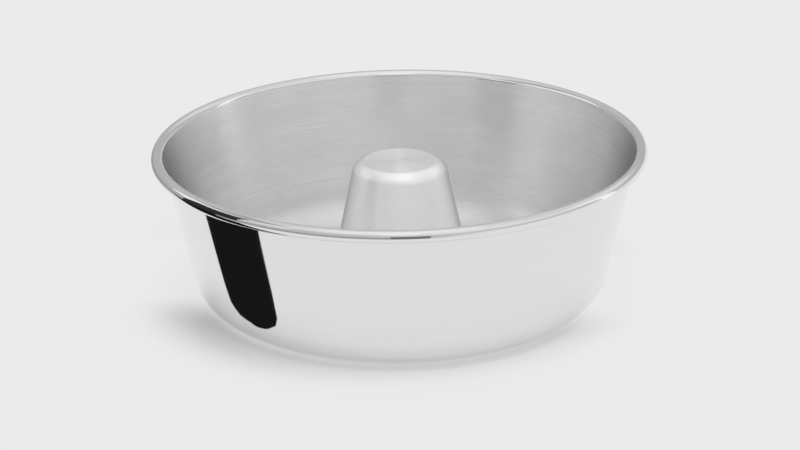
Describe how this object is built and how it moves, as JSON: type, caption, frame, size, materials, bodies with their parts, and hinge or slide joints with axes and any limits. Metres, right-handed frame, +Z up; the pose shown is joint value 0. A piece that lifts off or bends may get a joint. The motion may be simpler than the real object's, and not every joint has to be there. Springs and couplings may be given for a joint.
{
  "type": "ring cake pan",
  "caption": "Round aluminium ring cake pan with a flared wall, a wired rolled rim and a closed flat-topped cone seamed through the floor.",
  "frame": {"origin": "centre of the pan, on the surface that it stands on", "axes": "+Z up along the pan's axis, from the floor towards the rim; +X and +Y alike, because the pan is round"},
  "size_m": [0.26, 0.26, 0.084],
  "materials": {
    "body_sheet": "mirror polished outside and on the bead, satin with fine turning lines inside",
    "cone_sheet": "satin, with a turned disc on top",
    "wire": "galvanised, matt"
  },
  "bodies": {
    "root": {"pan_body": "body_sheet", "rim_wire": "wire", "centre_cone": "cone_sheet"}
  },
  "joints": []
}
